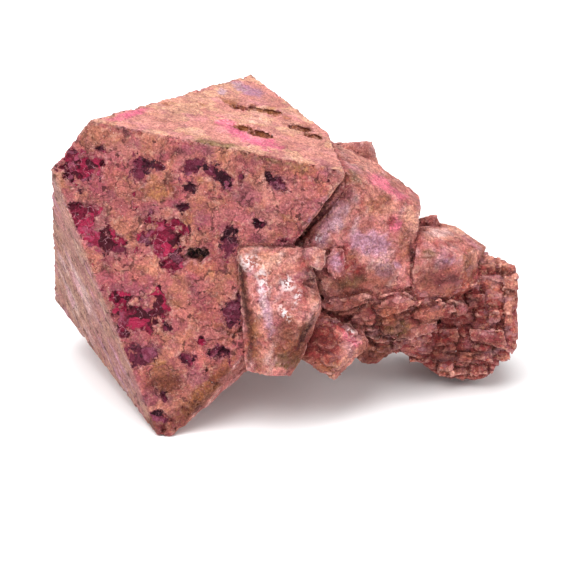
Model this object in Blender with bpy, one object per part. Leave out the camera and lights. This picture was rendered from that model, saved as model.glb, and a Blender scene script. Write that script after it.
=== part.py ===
"""A natural spinel crystal group: one large octahedron with smaller ones grown into its right side.

The large crystal is a distorted octahedron, cleaved from a block by its eight face planes. The
flank crystals are convex solids set by their corners, and the cluster at the far right is a wall of
small stacked blocks. Everything grew together, so all of it is fused into one solid. Ledges, chips
and hollows are cut or fused in code. X runs to the right, Y to the back and Z up, in millimetres
until the last step; the group stands on Z = 0 with its origin at the bottom centre of its box.
"""

import math
import random

import bmesh
import bpy
from mathutils import Matrix, Vector

MM = 0.001
NODE = "spinel_crystal"
SEED = 12

# The large octahedron. Each face is (azimuth, elevation, distance): azimuth 0 faces -Y and 90
# faces +X, elevation is above the horizon, both in degrees, and distance is from CENTRE in mm.
CENTRE = Vector((-11.9, 1.5, 16.7))
FACES = {
    "front": (-2.0, 17.4, 18.2),
    "top": (77.1, 79.8, 20.8),
    "left": (-65.6, -13.7, 18.6),
    "right_low": (56.9, -25.4, 15.0),
    "back_left": (-123.9, 28.1, 15.9),
    "back_right": (115.5, 13.5, 19.4),
    "bottom": (-133.0, -78.0, 13.7),
    "back": (178.0, -17.4, 19.0),
    "right_corner": (97.0, 10.0, 19.85),
    "underside_break": (117.0, -61.5, 8.1),
}
BLOCK_SIZE = 140.0

# Crystals grown into the right side, each the convex solid of its corners (x, y, z) in mm.
FLANK = [
    (7.0, -10.9, 33.3),
    (17.6, -8.1, 27.0),
    (16.3, -9.6, 19.1),
    (16.2, -10.5, 15.9),
    (12.7, -11.7, 14.8),
    (5.3, -13.7, 16.1),
    (1.3, -14.0, 23.8),
    (11.6, -0.6, 31.5),
    (17.8, -1.2, 26.8),
    (3.4, 2.6, 34.6),
    (16.0, 9.0, 20.0),
    (14.0, 7.0, 8.5),
    (1.0, 12.0, 27.0),
    (5.0, -9.0, 9.0),
    (0.0, 4.0, 7.0),
]
STEP = [
    (16.9, -10.2, 21.9),
    (23.3, -8.2, 20.3),
    (22.8, -8.5, 15.3),
    (20.0, -9.4, 14.2),
    (16.0, -10.6, 13.2),
    (17.2, -8.0, 23.4),
    (26.2, -4.0, 20.1),
    (25.6, -5.9, 15.1),
    (20.3, -0.6, 22.6),
    (22.9, 0.3, 22.0),
    (27.5, 1.1, 18.5),
    (24.0, 8.0, 14.0),
    (14.0, 8.0, 21.0),
    (13.0, 4.0, 9.0),
    (22.0, 2.0, 9.0),
]
FRONT_SMALL = [
    (-7.1, -16.4, 24.5),
    (1.6, -16.7, 24.6),
    (4.1, -19.4, 18.3),
    (-1.7, -22.8, 11.2),
    (-6.2, -17.4, 21.2),
    (-5.1, -19.4, 13.5),
    (-5.9, -20.8, 8.7),
    (-2.6, -22.0, 8.3),
    (0.1, -20.8, 7.9),
    (1.4, -19.4, 9.3),
    (4.2, -17.4, 16.2),
    (2.4, -10.0, 22.5),
    (3.0, -9.0, 14.0),
    (-3.0, -9.0, 10.0),
    (-5.5, -11.0, 23.5),
]
DARK_SMALL = [
    (2.4, -16.8, 13.4),
    (5.1, -15.5, 13.9),
    (10.2, -14.6, 11.3),
    (1.7, -18.8, 9.2),
    (6.0, -19.2, 8.8),
    (5.9, -18.0, 6.1),
    (10.7, -13.2, 9.4),
    (8.5, -8.5, 12.5),
    (3.0, -7.0, 10.0),
    (2.0, -9.0, 16.0),
    (6.5, -10.0, 8.2),
]
LEFT_FLAKE = [
    (14.4, -8.4, 8.4),
    (14.9, -7.8, 6.4),
    (18.0, -7.3, 4.6),
    (19.6, -7.8, 6.2),
    (19.4, -8.6, 9.4),
    (15.0, -2.0, 9.5),
    (19.0, -2.0, 5.0),
]
LOWER_LEDGE = [
    (4.4, -13.9, 15.7),
    (7.2, -13.6, 16.6),
    (10.5, -12.9, 15.9),
    (11.8, -12.6, 14.6),
    (12.0, -12.3, 12.6),
    (11.3, -12.2, 11.0),
    (8.4, -12.9, 11.9),
    (4.4, -13.7, 14.3),
    (8.0, -5.0, 9.5),
    (12.0, -5.0, 10.0),
    (10.0, -4.0, 18.0),
]
OLIVE_LEDGE = [
    (11.4, -11.8, 13.2),
    (14.6, -11.5, 13.3),
    (16.5, -10.9, 12.2),
    (16.9, -10.4, 10.4),
    (15.8, -10.6, 9.3),
    (12.9, -11.2, 9.7),
    (11.6, -11.6, 10.7),
    (12.0, -2.0, 9.0),
    (17.0, -3.0, 12.0),
    (16.0, -3.0, 9.0),
]
TERRACE_LEFT = [
    (12.0, -12.3, 16.3),
    (15.4, -11.9, 16.6),
    (16.9, -11.4, 15.6),
    (16.4, -11.3, 13.8),
    (13.6, -11.8, 13.2),
    (11.8, -12.1, 13.9),
    (12.0, -6.0, 15.0),
    (17.0, -6.0, 14.0),
]
TERRACE_RIGHT = [
    (15.0, -11.1, 15.0),
    (20.6, -9.9, 14.7),
    (20.0, -9.7, 12.9),
    (18.2, -10.0, 11.8),
    (15.2, -10.9, 12.4),
    (15.0, -5.0, 14.0),
    (21.0, -5.0, 13.0),
]
UNDER_FLAKE = [
    (10.4, -9.5, 8.0),
    (12.1, -8.5, 6.5),
    (14.6, -7.2, 5.6),
    (16.4, -6.6, 6.0),
    (15.6, -8.2, 8.5),
    (12.3, -10.0, 10.2),
    (9.8, -9.8, 9.8),
    (12.0, -2.0, 8.0),
    (15.0, -2.0, 7.0),
    (17.8, -4.8, 7.2),
    (16.6, -5.0, 9.5),
    (8.6, -10.4, 12.2),
    (12.8, -10.6, 11.0),
]
PLATE = [
    (29.6, -3.9, 18.0),
    (31.0, -3.5, 17.4),
    (31.3, -5.4, 13.0),
    (31.2, -8.0, 7.4),
    (30.5, -8.3, 6.1),
    (29.3, -8.3, 6.8),
    (29.4, -5.6, 13.1),
    (31.9, 4.5, 14.1),
    (31.8, 3.3, 5.5),
    (28.6, 4.0, 15.6),
    (28.6, 3.0, 7.0),
]
SLAB = [
    (24.6, -7.5, 9.8),
    (29.3, -8.2, 9.6),
    (29.8, -8.7, 7.6),
    (28.9, -8.5, 6.8),
    (24.9, -7.9, 7.8),
    (24.9, -4.0, 9.2),
    (28.9, -4.0, 7.2),
]
BACK_LUMP = [
    (8.6, -3.4, 7.0),
    (8.9, -4.0, 4.4),
    (10.1, -4.4, 3.3),
    (12.2, -4.4, 3.1),
    (13.6, -4.2, 4.1),
    (14.4, -4.4, 6.4),
    (9.8, -5.6, 6.6),
    (12.6, -5.9, 6.2),
    (9.4, 1.2, 4.2),
    (13.0, 1.2, 4.2),
    (8.8, 0.4, 8.6),
    (11.0, 2.4, 9.4),
    (14.2, 2.4, 9.4),
]
LOBE = [
    (18.2, -6.0, 3.8),
    (19.0, -5.9, 3.0),
    (20.7, -5.8, 1.9),
    (22.1, -5.8, 1.4),
    (24.1, -5.8, 1.2),
    (26.7, -6.0, 1.5),
    (28.0, -6.4, 2.4),
    (28.9, -6.8, 3.9),
    (28.8, -7.2, 5.4),
    (26.2, -7.5, 6.0),
    (22.1, -7.4, 6.0),
    (19.0, -6.9, 5.8),
    (21.0, -2.0, 0.9),
    (27.0, -2.0, 0.7),
    (24.0, 2.0, 0.2),
    (24.0, 3.0, 6.0),
]
NUB = [
    (1.7, -16.8, 24.6),
    (3.1, -16.8, 24.7),
    (4.7, -16.4, 24.1),
    (4.6, -17.2, 22.6),
    (3.9, -17.9, 21.7),
    (2.5, -18.1, 22.3),
    (1.8, -17.8, 23.1),
    (2.0, -10.0, 22.0),
    (5.0, -11.0, 20.0),
]
PILLAR = [
    (4.7, -15.0, 22.0),
    (5.7, -14.3, 23.7),
    (7.3, -13.9, 23.2),
    (7.3, -14.3, 20.6),
    (6.3, -14.9, 19.0),
    (4.9, -15.1, 20.3),
    (6.0, -9.0, 22.0),
    (6.0, -9.0, 19.0),
]
# Scales that overlap under the flank: (x, y, z, width, depth, height, turn about Z, tilt).
CHIP_SIDES = 7
LEDGES = [
    (7.2, -11.6, 15.6, 7.6, 4.4, 2.2, 14.0, -5.0),
    (9.8, -10.6, 13.0, 5.6, 4.4, 3.6, 15.0, 8.0),
    (13.6, -10.3, 14.6, 6.4, 4.4, 2.6, 13.0, -8.0),
    (14.8, -9.5, 11.2, 6.2, 4.4, 3.6, 17.0, 8.0),
    (18.8, -8.7, 12.9, 6.0, 4.4, 2.8, 15.0, -10.0),
    (17.8, -7.0, 10.0, 4.6, 4.4, 2.2, 18.0, -6.0),
    (21.4, -7.4, 13.0, 4.4, 4.6, 2.6, 18.0, 6.0),
]
LOWER_GROWTH = {
    "front": (-2.0, 17.4, 18.12),
    "left": (-65.6, -13.7, 18.5),
    "right_low": (52.7, -29.4, 18.2),
    "upper": (20.0, 68.0, 4.5),
    "bottom": (-133.0, -78.0, 13.6),
    "back": (178.0, -17.4, 2.0),
    "back_left": (-123.9, 28.1, 15.7),
    "underside_break": (117.0, -61.5, 8.1),
}
REAR_FOOT = [
    (-27.0, 12.0, 9.0),
    (-25.0, 15.0, 0.0),
    (-12.0, 22.0, 0.0),
    (-13.0, 8.0, 0.0),
    (-20.0, 24.5, 7.0),
    (-10.0, 20.0, 10.0),
    (-20.0, 6.0, 12.0),
]
CLUSTER_CORE = [
    (15.6, -5.4, 7.2),
    (18.0, -5.6, 5.2),
    (21.4, -4.2, 1.3),
    (24.6, -3.6, 0.3),
    (27.6, -3.8, 1.3),
    (29.2, -5.4, 5.6),
    (30.0, -5.6, 7.4),
    (30.2, -3.2, 17.2),
    (26.0, -3.2, 17.2),
    (16.0, -4.0, 12.0),
    (25.0, -6.4, 7.0),
    (30.2, 6.0, 8.0),
    (29.6, 6.0, 15.0),
    (25.0, 8.0, 1.0),
    (17.0, 8.0, 5.0),
    (16.0, 8.0, 16.0),
]

# Small octahedra grown in parallel with the large one: (x, y, z, radius, turn about Z in degrees).
BUDS = [
    (9.4, 3.4, 30.4, 4.6, 18.0),
    (19.4, -1.0, 22.6, 2.0, 40.0),
    (9.2, -8.5, 8.4, 3.0, 30.0),
    (14.6, -7.4, 8.6, 2.6, 62.0),
    (6.0, 12.0, 24.0, 7.0, 22.0),
    (12.0, 11.0, 14.0, 6.0, 55.0),
    (-2.0, 17.0, 20.0, 6.5, 5.0),
    (-16.0, 20.5, 13.0, 5.0, 35.0),
    (3.0, 12.0, 15.0, 5.5, 70.0),
    (20.0, 8.0, 17.0, 4.5, 12.0),
]

# The wall of stacked blocks at the far right.
BLOCK_WIDTH = 2.3
BLOCK_HEIGHT = 2.1
BLOCK_REACH = 3.0
BLOCK_STAND = (-0.6, 0.6)
WALL_BULGE = 2.4
BULGE_HEIGHT = 6.5
BULGE_REACH = 8.0
WALL_TILT = 4.0

# Hollows on the large crystal: (across, along, radius, depth, roundness) in mm from where the
# line from CENTRE meets the face; across runs to the right and along runs up the face.
FRONT_HOLLOWS = [
    (0.3, 1.1, 1.9, 1.5, 0.42),
    (7.6, -9.6, 1.0, 0.8, 0.8),
]
TOP_HOLLOWS = [
    (4.4, -4.0, 1.9, 1.1, 0.8),
    (1.9, -2.6, 1.3, 0.8, 0.8),
    (1.4, 6.2, 1.5, 0.7, 0.8),
    (3.8, 6.7, 1.4, 0.9, 0.8),
    (5.8, 6.5, 1.6, 1.1, 0.8),
    (9.6, 1.2, 1.7, 1.2, 0.8),
    (11.8, -1.2, 1.3, 0.9, 0.8),
    (-14.0, -2.2, 1.2, 0.5, 0.8),
]
HOLLOW_SIDES = 9

# Open gaps where crystals meet, each the convex solid of its corners (x, y, z) in mm.
EDGE_GAP = [
    (7.3, -13.7, 33.5),
    (7.4, -10.8, 32.7),
    (0.3, -16.2, 24.5),
    (0.4, -12.8, 23.6),
    (8.6, -13.6, 32.4),
    (8.5, -11.2, 31.8),
    (2.3, -16.2, 24.0),
    (2.2, -13.9, 23.8),
]
EDGE_HOLE = [
    (0.5, -16.4, 24.3),
    (0.6, -11.0, 24.3),
    (1.7, -16.4, 24.2),
    (1.6, -11.0, 24.1),
    (1.7, -16.0, 25.5),
    (1.6, -11.0, 25.4),
]
SMALL_GAP = [
    (1.2, -19.6, 20.8),
    (3.6, -19.0, 22.1),
    (5.9, -16.2, 20.3),
    (5.9, -16.2, 18.8),
    (4.6, -18.6, 18.0),
    (2.9, -19.4, 19.4),
    (4.2, -15.0, 19.5),
    (5.3, -13.6, 18.4),
    (4.2, -15.2, 18.0),
]


def direction(azimuth, elevation):
    """The unit vector for an azimuth (0 faces -Y, 90 faces +X) and an elevation in degrees."""
    a, e = math.radians(azimuth), math.radians(elevation)
    return Vector((math.sin(a) * math.cos(e), -math.cos(a) * math.cos(e), math.sin(e)))


def as_object(name, bm):
    """Closes bm into a mesh object with its faces pointing out."""
    bmesh.ops.recalc_face_normals(bm, faces=bm.faces)
    mesh = bpy.data.meshes.new(name)
    bm.to_mesh(mesh)
    bm.free()
    made = bpy.data.objects.new(name, mesh)
    bpy.context.scene.collection.objects.link(made)
    return made


def cleaved(name, centre, faces):
    """A block cut back to each face plane in turn."""
    bm = bmesh.new()
    bmesh.ops.create_cube(bm, size=BLOCK_SIZE, matrix=Matrix.Translation(centre))
    for azimuth, elevation, distance in faces.values():
        outward = direction(azimuth, elevation)
        geometry = bm.verts[:] + bm.edges[:] + bm.faces[:]
        cut = bmesh.ops.bisect_plane(
            bm, geom=geometry, plane_co=centre + outward * distance, plane_no=outward, clear_outer=True
        )
        rim = [g for g in cut["geom_cut"] if isinstance(g, bmesh.types.BMEdge)]
        bmesh.ops.contextual_create(bm, geom=rim)
    return as_object(name, bm)


def hull(name, corners):
    """The convex solid of these corners."""
    bm = bmesh.new()
    for corner in corners:
        bm.verts.new(corner)
    made = bmesh.ops.convex_hull(bm, input=bm.verts)
    inside = [g for g in made["geom_interior"] if isinstance(g, bmesh.types.BMVert)]
    bmesh.ops.delete(bm, geom=inside, context="VERTS")
    bmesh.ops.dissolve_limit(bm, angle_limit=math.radians(1.0), verts=bm.verts, edges=bm.edges)
    return as_object(name, bm)


def octahedron(name, place, radius, turn, rng):
    """A small crystal that stands on a face as the large one does, with uneven tips."""
    on_face = direction(0, 90 - 54.7356).rotation_difference(Vector((0, 0, 1)))
    frame = Matrix.Rotation(math.radians(turn), 3, "Z") @ on_face.to_matrix()
    slant = math.sqrt(0.5)
    axes = [Vector((slant, 0, slant)), Vector((-slant, 0, slant)), Vector((0, 1, 0))]
    tips = [a * s * radius * rng.uniform(0.8, 1.15) for a in axes for s in (1, -1)]
    return hull(name, [Vector(place) + frame @ tip for tip in tips])


def block(name, middle, size, frame, rng):
    """One small block with slightly uneven corners."""
    corners = []
    for sx in (-0.5, 0.5):
        for sy in (-0.5, 0.5):
            for sz in (-0.5, 0.5):
                shift = [1 + rng.uniform(-0.08, 0.08) for _ in range(3)]
                corner = Vector((sx * size[0] * shift[0], sy * size[1] * shift[1], sz * size[2] * shift[2]))
                corners.append(middle + frame @ corner)
    return hull(name, corners)


def chip(name, middle, size, frame, rng):
    """An uneven flat scale: wider at the back than at its many-sided front."""
    corners = []
    start = rng.uniform(0, math.tau)
    for k in range(CHIP_SIDES):
        turn = start + math.tau * (k + rng.uniform(-0.3, 0.3)) / CHIP_SIDES
        reach = rng.uniform(0.42, 0.6)
        x, z = size[0] * math.cos(turn) * reach, size[2] * math.sin(turn) * reach
        front = -0.5 * size[1] * rng.uniform(0.88, 1.05)
        corners.append(middle + frame @ Vector((x, front, z)))
        corners.append(middle + frame @ Vector((x * 1.2, 0.5 * size[1], z * 1.2)))
    return hull(name, corners)


def ledges(rng):
    """Scales that overlap one another down the slope under the flank."""
    made = []
    for n, (x, y, z, width, depth, height, turn, tilt) in enumerate(LEDGES):
        frame = Matrix.Rotation(math.radians(turn), 3, "Z") @ Matrix.Rotation(math.radians(tilt), 3, "Y")
        made.append(chip(f"ledge_{n}", Vector((x, y, z)), (width, depth, height), frame, rng))
    return made


def inside(outline, x, z):
    """Whether (x, z) lies within the outline, a list of (x, z) points."""
    found = False
    for (x1, z1), (x2, z2) in zip(outline, outline[1:] + outline[:1]):
        if (z1 > z) != (z2 > z) and x < (x2 - x1) * (z - z1) / (z2 - z1) + x1:
            found = not found
    return found


def bulge(z):
    """How far the wall of blocks swells out at a height."""
    return WALL_BULGE * max(0.0, 1 - ((z - BULGE_HEIGHT) / BULGE_REACH) ** 2)


def block_wall(name, corner, along, outward, outline, rng):
    """Blocks in courses on one side of the cluster, where the outline (along, up) allows."""
    tilt = Matrix.Rotation(math.radians(WALL_TILT), 3, outward)
    frame = tilt @ Matrix((along, outward, Vector((0, 0, 1)))).transposed()
    width = max(p[0] for p in outline)
    height = max(p[1] for p in outline)
    made = []
    z = 0.0
    while z < height:
        tall = BLOCK_HEIGHT * rng.uniform(0.8, 1.2)
        a = rng.uniform(-0.6, 0.0)
        while a < width:
            wide = BLOCK_WIDTH * rng.uniform(0.7, 1.45)
            mid_a, mid_z = a + wide / 2, z + tall / 2
            if inside(outline, mid_a, mid_z):
                stand = bulge(mid_z) + rng.uniform(*BLOCK_STAND)
                middle = corner + along * mid_a + outward * (stand - BLOCK_REACH / 2)
                middle = middle + Vector((0, 0, mid_z + rng.uniform(-0.15, 0.15)))
                size = (wide * 0.99, BLOCK_REACH, tall * rng.uniform(0.96, 1.1))
                made.append(block(f"{name}_{len(made)}", middle, size, frame, rng))
            a += wide
        z += tall
    return made


def cluster_blocks(rng):
    """The block walls on the front, the right and the back of the cluster."""
    front = [(0.6, 7.0), (3.2, 5.6), (6.4, 3.2), (9.4, 2.7), (12.6, 3.0), (14.2, 4.4), (16.2, 6.4)]
    front += [(15.4, 18.0), (10.6, 18.0), (9.0, 13.6), (1.0, 11.6)]
    side = [(0.0, 6.6), (5.5, 2.0), (9.0, 2.5), (11.0, 7.0), (10.5, 15.5), (0.0, 18.0)]
    back = [(1.0, 7.5), (5.0, 1.5), (13.0, 3.5), (14.5, 15.0), (1.0, 15.5)]
    made = block_wall(
        "front_block", Vector((15.0, -4.9, 0)), Vector((1, 0, 0)), Vector((0, -1, 0)), front, rng
    )
    made += block_wall(
        "side_block", Vector((28.6, -4.0, 0)), Vector((0, 1, 0)), Vector((1, 0, 0)), side, rng
    )
    made += block_wall(
        "back_block", Vector((30.5, 5.6, 0)), Vector((-1, 0, 0)), Vector((0, 1, 0)), back, rng
    )
    return made


def hollow_cutters(face, hollows, rng):
    """Uneven cones that sink shallow hollows into one face of the large crystal."""
    azimuth, elevation, distance = FACES[face]
    outward = direction(azimuth, elevation)
    across = Vector((0, 1, 0)).cross(Vector((0, 0, 1)))
    across = (across - outward * across.dot(outward)).normalized()
    along = outward.cross(across)
    if along.z < 0 or (abs(along.z) < 0.3 and along.y < 0):
        along = -along
    made = []
    for n, (a, b, radius, depth, roundness) in enumerate(hollows):
        middle = CENTRE + outward * distance + across * a + along * b
        corners = []
        start = rng.uniform(0, math.tau)
        for k in range(HOLLOW_SIDES):
            turn = start + math.tau * k / HOLLOW_SIDES
            reach = radius * rng.uniform(0.7, 1.25)
            out = across * math.cos(turn) + along * math.sin(turn) * roundness
            corners.append(middle + out * reach * 1.05 + outward * depth)
            corners.append(middle + out * reach * 0.72 - outward * depth)
        made.append(hull(f"{face}_hollow_{n}", corners))
    return made


def gathered(name, objects):
    """Moves helper objects into a collection that renders hide."""
    group = bpy.data.collections.new(name)
    bpy.context.scene.collection.children.link(group)
    for helper in objects:
        bpy.context.scene.collection.objects.unlink(helper)
        group.objects.link(helper)
        helper.hide_render = True
        helper.display_type = "WIRE"
    return group


def boolean(target, operation, group):
    modifier = target.modifiers.new(operation.title(), "BOOLEAN")
    modifier.operation = operation
    modifier.operand_type = "COLLECTION"
    modifier.collection = group
    modifier.solver = "EXACT"
    modifier.use_self = operation == "UNION"


def without_sealed_gaps(mesh):
    """Keeps only the outer skin, so that gaps sealed in between crystals become solid."""
    bm = bmesh.new()
    bm.from_mesh(mesh)
    unseen = set(bm.verts)
    shells = []
    while unseen:
        shell = {unseen.pop()}
        border = set(shell)
        while border:
            border = {e.other_vert(v) for v in border for e in v.link_edges} - shell
            shell |= border
        unseen -= shell
        shells.append(shell)
    shells.sort(key=len)
    bmesh.ops.delete(bm, geom=[v for shell in shells[:-1] for v in shell], context="VERTS")
    bm.to_mesh(mesh)
    bm.free()


def settled(target):
    """The finished solid as a plain mesh in metres, centred on its foot, with the helpers removed."""
    graph = bpy.context.evaluated_depsgraph_get()
    mesh = bpy.data.meshes.new_from_object(target.evaluated_get(graph))
    without_sealed_gaps(mesh)
    for other in list(bpy.data.objects):
        bpy.data.objects.remove(other)
    low = [min(v.co[i] for v in mesh.vertices) for i in range(3)]
    high = [max(v.co[i] for v in mesh.vertices) for i in range(3)]
    foot = Vector(((low[0] + high[0]) / 2, (low[1] + high[1]) / 2, low[2]))
    mesh.transform(Matrix.Scale(MM, 4) @ Matrix.Translation(-foot))
    made = bpy.data.objects.new(NODE, mesh)
    bpy.context.scene.collection.objects.link(made)
    return made


def finish(crystal):
    """A dull rose-red mineral surface with flat faces."""
    material = bpy.data.materials.new("spinel")
    material.use_nodes = True
    shader = material.node_tree.nodes["Principled BSDF"]
    shader.inputs["Base Color"].default_value = (0.48, 0.17, 0.16, 1)
    shader.inputs["Roughness"].default_value = 0.6
    shader.inputs["Metallic"].default_value = 0.0
    crystal.data.materials.clear()
    crystal.data.materials.append(material)
    crystal.data.shade_flat()


def main():
    for old in list(bpy.data.objects):
        bpy.data.objects.remove(old)
    rng = random.Random(SEED)
    crystal = cleaved("large_octahedron", CENTRE, FACES)
    grown = [
        hull("flank", FLANK),
        hull("step", STEP),
        hull("front_small", FRONT_SMALL),
        hull("dark_small", DARK_SMALL),
        hull("lower_ledge", LOWER_LEDGE),
        hull("olive_ledge", OLIVE_LEDGE),
        hull("rear_foot", REAR_FOOT),
        hull("cluster_core", CLUSTER_CORE),
        hull("plate", PLATE),
        hull("slab", SLAB),
        hull("back_lump", BACK_LUMP),
        hull("lobe", LOBE),
        hull("nub", NUB),
        hull("left_flake", LEFT_FLAKE),
        hull("terrace_left", TERRACE_LEFT),
        hull("terrace_right", TERRACE_RIGHT),
        hull("under_flake", UNDER_FLAKE),
        hull("pillar", PILLAR),
        cleaved("lower_growth", CENTRE, LOWER_GROWTH),
    ]
    grown += [octahedron(f"bud_{n}", bud[:3], bud[3], bud[4], rng) for n, bud in enumerate(BUDS)]
    grown += ledges(rng) + cluster_blocks(rng)
    cutters = hollow_cutters("front", FRONT_HOLLOWS, rng) + hollow_cutters("top", TOP_HOLLOWS, rng)
    cutters += [
        hull("edge_gap", EDGE_GAP),
        hull("edge_hole", EDGE_HOLE),
        hull("small_gap", SMALL_GAP),
    ]
    floor = hull("floor", [(x, y, z) for x in (-80, 80) for y in (-80, 80) for z in (-40, 0)])
    boolean(crystal, "UNION", gathered("grown", grown))
    boolean(crystal, "DIFFERENCE", gathered("cutters", cutters + [floor]))
    finish(settled(crystal))


main()
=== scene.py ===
"""A natural spinel crystal group, crusted and with ruby windows, on a plain pale floor."""

import math
from functools import reduce

import bmesh
import bpy
import numpy as np
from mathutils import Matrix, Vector
from mathutils.bvhtree import BVHTree
from mathutils.kdtree import KDTree


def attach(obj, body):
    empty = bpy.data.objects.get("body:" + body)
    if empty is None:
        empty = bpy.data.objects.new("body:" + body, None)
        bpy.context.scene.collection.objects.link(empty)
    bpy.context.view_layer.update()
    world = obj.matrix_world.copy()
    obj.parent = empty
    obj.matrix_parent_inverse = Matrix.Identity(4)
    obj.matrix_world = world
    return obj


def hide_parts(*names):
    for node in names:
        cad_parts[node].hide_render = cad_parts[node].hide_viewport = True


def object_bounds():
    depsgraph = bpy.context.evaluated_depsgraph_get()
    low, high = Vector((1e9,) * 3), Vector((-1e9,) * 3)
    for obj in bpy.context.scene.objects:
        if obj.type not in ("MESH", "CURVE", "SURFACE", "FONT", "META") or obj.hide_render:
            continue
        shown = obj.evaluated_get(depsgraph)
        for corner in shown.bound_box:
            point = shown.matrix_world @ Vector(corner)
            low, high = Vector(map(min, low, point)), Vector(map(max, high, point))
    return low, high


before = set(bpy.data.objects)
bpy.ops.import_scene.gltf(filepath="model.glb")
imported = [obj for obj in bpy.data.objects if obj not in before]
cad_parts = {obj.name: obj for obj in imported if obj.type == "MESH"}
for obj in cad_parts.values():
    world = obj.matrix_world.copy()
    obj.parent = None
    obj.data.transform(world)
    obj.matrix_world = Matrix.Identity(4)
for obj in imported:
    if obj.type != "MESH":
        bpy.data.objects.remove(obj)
cad_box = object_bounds()

# Lengths are in millimetres and angles in degrees, except where a comment says otherwise.
MM = 0.001
SEED = 7

# ---------------------------------------------------------------- view, floor and light
VIEW_GRID = 580
VIEW_STEP = 0.14
VIEW_TARGET = np.array([1.116, -1.824, 12.5])
VIEW_ELEVATION = 20.0
VIEW_DISTANCE = 308.0
SENSOR = 36.0
# The next five are in metres, and the lamps' last numbers are in watts: each lamp has its name,
# place, width and power.
NEAREST_SEEN, FARTHEST_SEEN = 0.01, 20.0
FLOOR_HALF_WIDTH = 3.0
LAMPS_AIM = (0, 0, 0.015)
LAMPS = (
    ("key", (-0.20, -0.26, 0.48), 0.50, 2.8),
    ("low_right", (0.36, -0.42, 0.24), 0.45, 1.3),
    ("overhead", (-0.02, 0.10, 0.60), 0.60, 2.6),
)
WORLD_STRENGTH = 0.70
FLOOR_COLOUR = (0.93, 0.925, 0.93, 1)
FLOOR_ROUGHNESS = 0.55

# ---------------------------------------------------------------- the large crystal's faces
# Each is the azimuth and elevation that it faces, and how far it is from the crystal's centre.
CENTRE = np.array([-10.784, -0.324, 16.7])
FACES = {
    "front": (-2.0, 17.4, 18.2),
    "top": (77.1, 79.8, 20.8),
    "left": (-65.6, -13.7, 18.6),
    "right_low": (56.9, -25.4, 15.0),
    "back_left": (-123.9, 28.1, 15.9),
    "back_right": (115.5, 13.5, 19.4),
}

# ---------------------------------------------------------------- mesh and relief
VOXEL = 0.27
MOST_TRIANGLES = 190000
SAME_POINT = 0.001
SHARP_ANGLE = 38
LEAST_EDGE_ANGLE = 16
EDGE_STEP = 0.15
NEAR_ROUNDS = 5
WIDE_ROUNDS = 60
# How far each kind of relief moves the surface.
DEPTHS = {
    "ripple": 0.06,
    "swell": 0.10,
    "grit": 0.05,
    "settle": 0.05,
    "window": 0.36,
    "window_steps": 0.16,
    "crust_plate": 0.15,
    "crust_pebble": 0.06,
    "raised_plate": 0.14,
    "plate_rim": 0.12,
    "top_lump": 0.15,
    "top_pebble": 0.09,
    "streak": 0.15,
    "left_grit": 0.05,
    "grown_lump": 0.13,
    "grown_pebble": 0.06,
    "sheet": 0.22,
    "slope_sheet": 0.26,
    "block_sheet": 0.10,
    "pit": 0.60,
    "top_pit": 0.45,
    "seam": 0.30,
    "worn": 0.06,
    "chip": 0.30,
    "large_chip": 0.5,
}
GRIT_SHIFT, GRIT_SIZE = 5, 0.5
WANDER, WANDER_SIZE, WANDER_SHIFT = 0.45, 1.5, 31
LARGE_LOBE, SMALL_LOBE, LOBE_MEAN = 2.3, 0.9, 0.42
SHEET_THICKNESS, SHEET_MEAN = 2.1, 0.45
BLOCKS_LEAN, BLOCKS_MIDDLE = 0.55, 19
# Where each zone starts and where it is whole.
NEAR_FACE, ALONG_FACE = (0.55, 0.15), (0.6, 0.9)
BLOCKS_RIGHT_OF, BLOCKS_BELOW = (24.0, 25.5), (19.5, 17.5)
SLOPE_BELOW, SLOPE_RIGHT_OF = (17.2, 15.8), (3.0, 6.0)
FACING_VIEW = (0.0, 0.25)
UNDER_TOP, FAR_UNDER_TOP = (4.0, 3.0), (9.0, 12.0)
# For windows that no mark places: how strong their noise is, how rare and how ragged they are.
SCATTERED = {"hidden_windows": (1.1, 0.58, 0.8), "window_flecks": (0.9, 0.60, 0.5)}
MARK_SPREAD = 0.62
FAR_FROM_MARKS = -3.0
CLOSED = -1.0
TOP_SOFTNESS = 0.6

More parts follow.
